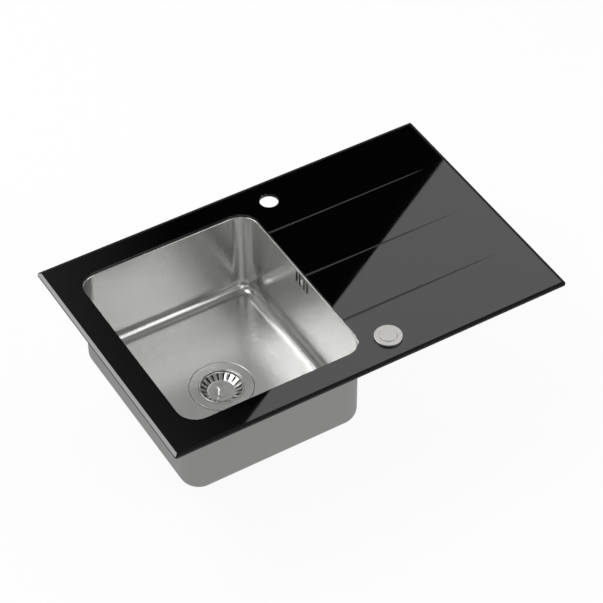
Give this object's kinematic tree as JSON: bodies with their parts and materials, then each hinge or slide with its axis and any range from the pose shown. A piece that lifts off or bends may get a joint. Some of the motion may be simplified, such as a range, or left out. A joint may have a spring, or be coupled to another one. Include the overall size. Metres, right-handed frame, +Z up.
{
  "type": "inset kitchen sink",
  "caption": "Inset sink: black glass plate with bevelled edges and drainer grooves, steel bowl below, overflow, strainer waste and push-button remote control.",
  "frame": {"origin": "axis of the tap hole, on the underside of the glass plate", "axes": "+X from the bowl towards the drainer, +Y towards the back edge where the tap stands, +Z up"},
  "size_m": [0.78, 0.5, 0.2782],
  "materials": {
    "black_glass": "polished opaque black, ground and polished edges",
    "bowl_steel": "satin brushed",
    "drain_steel": "polished pressed steel",
    "control_metal": "satin, bright edges",
    "zinc_steel": "zinc plated",
    "black_rubber": "matt",
    "sealant": "cured silicone",
    "foam": "closed-cell foam",
    "black_plastic": "moulded, fine grain",
    "grey_plastic": "moulded, fine grain",
    "cable_sheath": "smooth extruded"
  },
  "bodies": {
    "sink": {"glass_top": "black_glass", "bowl": "bowl_steel", "bond_seal": "sealant", "rim_seal": "foam", "strainer_flange": "drain_steel", "flange_seal": "black_rubber", "body_gasket": "black_rubber", "waste_body": "grey_plastic", "waste_cone": "grey_plastic", "outlet_neck": "grey_plastic", "inlet_spigot": "grey_plastic", "cable_port": "grey_plastic", "waste_cross": "grey_plastic", "clamp_screw": "drain_steel", "overflow_gasket": "black_rubber", "overflow_housing": "grey_plastic", "overflow_screw": "drain_steel", "overflow_hose": "grey_plastic", "hose_nut_upper": "black_plastic", "hose_nut_lower": "black_plastic", "control_gasket": "black_rubber", "control_ring": "control_metal", "control_sleeve": "black_plastic", "control_washer": "black_rubber", "control_nut": "black_plastic", "control_spring": "zinc_steel", "control_cable": "cable_sheath", "cable_gland_upper": "zinc_steel", "cable_gland_lower": "zinc_steel", "rocker_pin": "drain_steel", "clip_pads": "foam", "clip_brackets": "zinc_steel", "clip_pins": "zinc_steel"},
    "control_button": {"control_button": "control_metal"},
    "pull_wire": {"pull_wire": "zinc_steel"},
    "lift_rocker": {"lift_rocker": "black_plastic"},
    "lift_pin": {"lift_pin": "drain_steel"},
    "strainer_basket": {"basket": "drain_steel", "basket_knob": "drain_steel", "basket_seal": "black_rubber"},
    "clip_arm_1": {"clip_arm_1": "zinc_steel", "clip_screw_1": "zinc_steel"},
    "clip_claw_1": {"clip_claw_1": "zinc_steel"},
    "clip_arm_2": {"clip_arm_2": "zinc_steel", "clip_screw_2": "zinc_steel"},
    "clip_claw_2": {"clip_claw_2": "zinc_steel"},
    "clip_arm_3": {"clip_arm_3": "zinc_steel", "clip_screw_3": "zinc_steel"},
    "clip_claw_3": {"clip_claw_3": "zinc_steel"},
    "clip_arm_4": {"clip_arm_4": "zinc_steel", "clip_screw_4": "zinc_steel"},
    "clip_claw_4": {"clip_claw_4": "zinc_steel"},
    "clip_arm_5": {"clip_arm_5": "zinc_steel", "clip_screw_5": "zinc_steel"},
    "clip_claw_5": {"clip_claw_5": "zinc_steel"},
    "clip_arm_6": {"clip_arm_6": "zinc_steel", "clip_screw_6": "zinc_steel"},
    "clip_claw_6": {"clip_claw_6": "zinc_steel"}
  },
  "joints": [
    {"name": "control_press", "type": "slide", "parent": "sink", "child": "control_button", "axis": [0, 0, -1], "range_m": [0, 0.006], "stiffness_N_per_m": 300, "springref_m": -0.003, "deforming": ["control_spring"]},
    {"name": "wire_pull", "type": "slide", "parent": "sink", "child": "pull_wire", "axis": [0, -1, 0], "range_m": [0, 0.006]},
    {"name": "rocker_turn", "type": "hinge", "parent": "sink", "child": "lift_rocker", "pos_m": [-0.2185, -0.2165, -0.2425], "axis": [1, 0, 0], "range_deg": [0, 28.95]},
    {"name": "pin_lift", "type": "slide", "parent": "sink", "child": "lift_pin", "axis": [0, 0, 1], "range_m": [0, 0.008]},
    {"name": "basket_lift_out", "type": "slide", "parent": "lift_pin", "child": "strainer_basket", "axis": [0, 0, 1], "range_m": [0, 0.2]},
    {"name": "clip_fold_1", "type": "hinge", "parent": "sink", "child": "clip_arm_1", "pos_m": [-0.293, -0.4365, -0.0074], "axis": [-1, 0, 0], "range_deg": [0, 90]},
    {"name": "clip_clamp_1", "type": "slide", "parent": "clip_arm_1", "child": "clip_claw_1", "axis": [0, -1, 0], "range_m": [0, 0.012]},
    {"name": "clip_fold_2", "type": "hinge", "parent": "sink", "child": "clip_arm_2", "pos_m": [0.177, -0.4365, -0.0074], "axis": [-1, 0, 0], "range_deg": [0, 90]},
    {"name": "clip_clamp_2", "type": "slide", "parent": "clip_arm_2", "child": "clip_claw_2", "axis": [0, -1, 0], "range_m": [0, 0.012]},
    {"name": "clip_fold_3", "type": "hinge", "parent": "sink", "child": "clip_arm_3", "pos_m": [-0.293, 0.0365, -0.0074], "axis": [1, 0, 0], "range_deg": [0, 90]},
    {"name": "clip_clamp_3", "type": "slide", "parent": "clip_arm_3", "child": "clip_claw_3", "axis": [0, 1, 0], "range_m": [0, 0.012]},
    {"name": "clip_fold_4", "type": "hinge", "parent": "sink", "child": "clip_arm_4", "pos_m": [0.177, 0.0365, -0.0074], "axis": [1, 0, 0], "range_deg": [0, 90]},
    {"name": "clip_clamp_4", "type": "slide", "parent": "clip_arm_4", "child": "clip_claw_4", "axis": [0, 1, 0], "range_m": [0, 0.012]},
    {"name": "clip_fold_5", "type": "hinge", "parent": "sink", "child": "clip_arm_5", "pos_m": [-0.4295, -0.2, -0.0074], "axis": [0, 1, 0], "range_deg": [0, 90]},
    {"name": "clip_clamp_5", "type": "slide", "parent": "clip_arm_5", "child": "clip_claw_5", "axis": [-1, 0, 0], "range_m": [0, 0.012]},
    {"name": "clip_fold_6", "type": "hinge", "parent": "sink", "child": "clip_arm_6", "pos_m": [0.3235, -0.2, -0.0074], "axis": [0, -1, 0], "range_deg": [0, 90]},
    {"name": "clip_clamp_6", "type": "slide", "parent": "clip_arm_6", "child": "clip_claw_6", "axis": [1, 0, 0], "range_m": [0, 0.012]}
  ],
  "couplings": [
    {"joint": "wire_pull", "follows": "control_press", "ratio": 1},
    {"joint": "rocker_turn", "follows": "control_press", "rad_per_m": 84.227},
    {"joint": "pin_lift", "follows": "control_press", "ratio": 1.3333}
  ]
}
